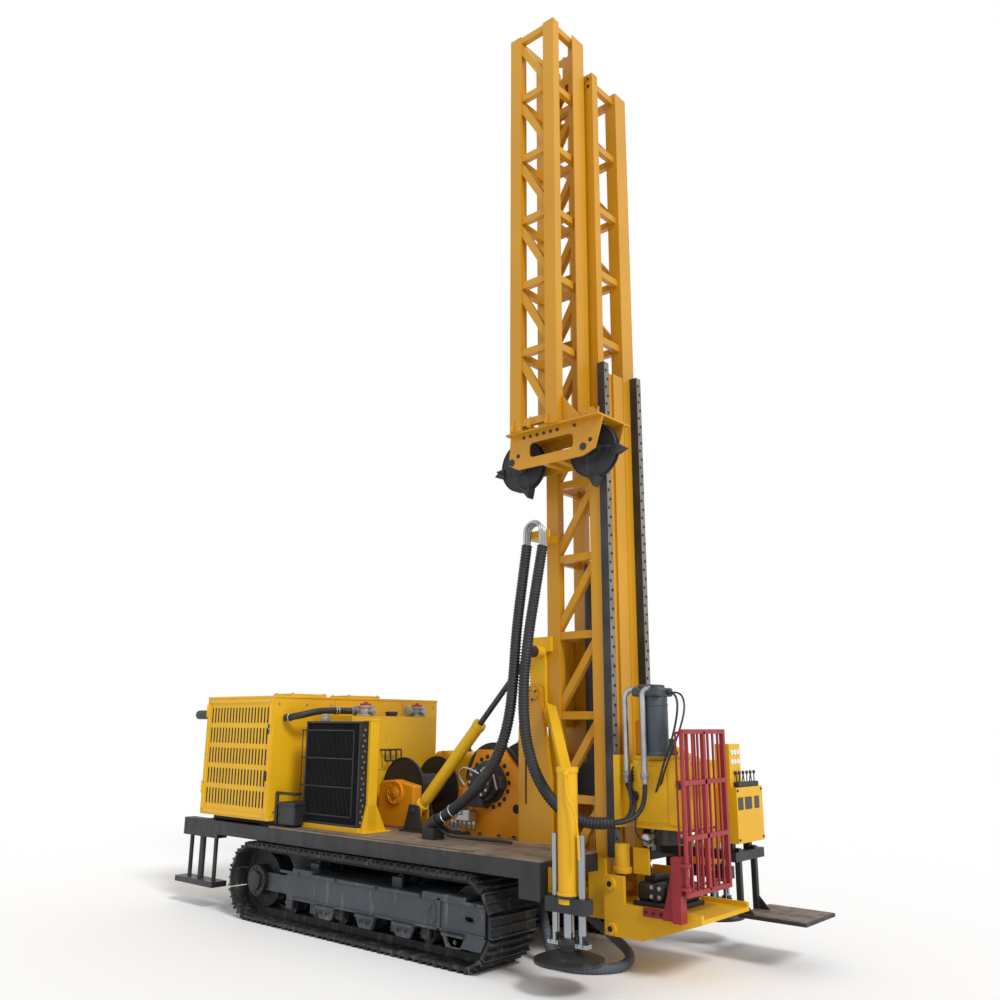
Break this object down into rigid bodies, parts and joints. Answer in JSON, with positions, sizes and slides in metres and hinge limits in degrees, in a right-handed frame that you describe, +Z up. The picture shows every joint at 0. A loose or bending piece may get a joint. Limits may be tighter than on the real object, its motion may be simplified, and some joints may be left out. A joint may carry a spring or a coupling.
{
  "type": "crawler core drilling rig",
  "caption": "Crawler core drilling rig with a tilting, sliding lattice mast whose top section folds down beside it, drill head, winches, jacks and safety cage.",
  "frame": {"origin": "on the ground under the middle of the machine, as it stands on its tracks with the mast up and its top section folded down", "axes": "+Z up along the mast, +X forward to the borehole, +Y to the far side; the folded section hangs at -Y"},
  "size_m": [5.8603, 2.47, 7.948],
  "materials": {
    "black_paint": "black paint, satin",
    "cast_aluminium": "cast, matt",
    "chrome_rod": "ground and polished",
    "dark_iron": "dark iron",
    "deck_steel": "worn brown-grey tread",
    "engine_iron": "dark iron",
    "exhaust_steel": "heat-dulled steel",
    "grey_paint": "dark blue-grey paint",
    "hose_rubber": "ribbed black rubber sleeve",
    "orange_paint": "orange machine paint",
    "rail_steel": "oiled steel",
    "red_paint": "dull red paint",
    "track_steel": "worn black track steel",
    "yellow_paint": "warm yellow machine paint",
    "zinc_plate": "zinc-plated steel tube"
  },
  "bodies": {
    "chassis": {"track_left": "track_steel", "track_right": "track_steel", "track_wheels_left": "track_steel", "track_wheels_right": "track_steel", "track_frame_left": "grey_paint", "track_frame_right": "grey_paint", "chassis_frame": "black_paint", "deck_plate": "deck_steel", "engine_housing": "yellow_paint", "engine_block": "engine_iron", "exhaust_pipe": "exhaust_steel", "radiator": "black_paint", "radiator_stand": "yellow_paint", "hydraulic_tank": "yellow_paint", "return_filters": "cast_aluminium", "fuel_tank": "yellow_paint", "main_winch_frame": "orange_paint", "main_winch_motor": "black_paint", "wireline_winch_frame": "orange_paint", "mast_pedestal": "yellow_paint", "console_frame": "black_paint", "control_console": "yellow_paint", "step_platform": "black_paint", "front_jack_left": "yellow_paint", "front_jack_right": "yellow_paint", "deck_manifold": "black_paint", "deck_hose_bundle": "hose_rubber", "ground_hose": "hose_rubber"},
    "main_drum": {"main_winch_drum": "black_paint"},
    "wireline_drum": {"wireline_winch_drum": "black_paint"},
    "lift_barrels": {"lift_barrels": "yellow_paint"},
    "lift_rods": {"lift_rods": "chrome_rod"},
    "carriage": {"mast_carriage": "yellow_paint"},
    "lower_mast": {"mast_lower": "yellow_paint", "feed_rails": "rail_steel", "foot_table": "yellow_paint", "rod_holder": "dark_iron", "cage_bracket": "red_paint", "hose_bracket": "yellow_paint", "hose_elbows": "zinc_plate", "head_hose_bundle": "hose_rubber", "slide_cylinder": "grey_paint"},
    "upper_mast": {"mast_upper": "yellow_paint", "mast_crown": "yellow_paint"},
    "sheave_front": {"sheave_front": "black_paint"},
    "sheave_rear": {"sheave_rear": "black_paint"},
    "head": {"head_gearbox": "yellow_paint", "head_motor": "black_paint", "head_pipes": "zinc_plate", "pipe_hose_rear": "hose_rubber", "pipe_hose_front": "hose_rubber"},
    "spindle": {"head_spindle": "rail_steel"},
    "cage": {"safety_cage": "red_paint"},
    "front_leg_left": {"front_foot_left": "chrome_rod", "front_dish_left": "black_paint"},
    "front_leg_right": {"front_foot_right": "chrome_rod", "front_dish_right": "black_paint"},
    "rear_leg_left": {"rear_foot_left": "chrome_rod"},
    "rear_leg_right": {"rear_foot_right": "chrome_rod"}
  },
  "joints": [
    {"name": "mast_tilt", "type": "hinge", "parent": "chassis", "child": "carriage", "pos_m": [1.075, 0, 1.965], "axis": [0, -1, 0], "range_deg": [0, 90], "deforming": ["deck_hose_bundle"]},
    {"name": "mast_slide", "type": "slide", "parent": "carriage", "child": "lower_mast", "axis": [0, 0, 1], "range_m": [-0.17, 0.6], "deforming": ["deck_hose_bundle", "ground_hose"]},
    {"name": "mast_fold", "type": "hinge", "parent": "lower_mast", "child": "upper_mast", "pos_m": [0, -0.247, 7.791], "axis": [-1, 0, 0], "range_deg": [0, 180]},
    {"name": "front_sheave_turn", "type": "hinge", "parent": "upper_mast", "child": "sheave_front", "pos_m": [1.862, -0.494, 3.855], "axis": [0, 1, 0], "continuous": true},
    {"name": "rear_sheave_turn", "type": "hinge", "parent": "upper_mast", "child": "sheave_rear", "pos_m": [1.125, -0.494, 3.855], "axis": [0, 1, 0], "continuous": true},
    {"name": "head_feed", "type": "slide", "parent": "lower_mast", "child": "head", "axis": [0, 0, 1], "range_m": [0, 3.073], "deforming": ["head_hose_bundle", "pipe_hose_rear", "pipe_hose_front"]},
    {"name": "spindle_turn", "type": "hinge", "parent": "head", "child": "spindle", "pos_m": [2.1, 0, 0.98], "axis": [0, 0, 1], "continuous": true},
    {"name": "cage_door", "type": "hinge", "parent": "lower_mast", "child": "cage", "pos_m": [2.5, -0.42, 0.585], "axis": [0, 0, -1], "range_deg": [0, 100]},
    {"name": "main_drum_turn", "type": "hinge", "parent": "chassis", "child": "main_drum", "pos_m": [0.555, 0, 1.25], "axis": [0, 1, 0], "continuous": true},
    {"name": "wireline_drum_turn", "type": "hinge", "parent": "chassis", "child": "wireline_drum", "pos_m": [-0.54, 0, 1.145], "axis": [0, 1, 0], "continuous": true},
    {"name": "front_jack_left", "type": "slide", "parent": "chassis", "child": "front_leg_left", "axis": [0, 0, -1], "range_m": [0, 0.2]},
    {"name": "rear_jack_left", "type": "slide", "parent": "chassis", "child": "rear_leg_left", "axis": [0, 0, -1], "range_m": [0, 0.2]},
    {"name": "front_jack_right", "type": "slide", "parent": "chassis", "child": "front_leg_right", "axis": [0, 0, -1], "range_m": [0, 0.2]},
    {"name": "rear_jack_right", "type": "slide", "parent": "chassis", "child": "rear_leg_right", "axis": [0, 0, -1], "range_m": [0, 0.2]},
    {"name": "lift_foot", "type": "hinge", "parent": "chassis", "child": "lift_barrels", "pos_m": [-0.15, 0, 1], "axis": [0, -1, 0], "range_deg": [0, 3.5]},
    {"name": "lift_stroke", "type": "slide", "parent": "lift_barrels", "child": "lift_rods", "axis": [-0.6974, 0, -0.7167], "range_m": [0, 0.4831]}
  ],
  "couplings": [
    {"joint": "lift_foot", "follows": "mast_tilt", "ratio": 0.03328},
    {"joint": "lift_stroke", "follows": "mast_tilt", "m_per_rad": 0.30436}
  ]
}
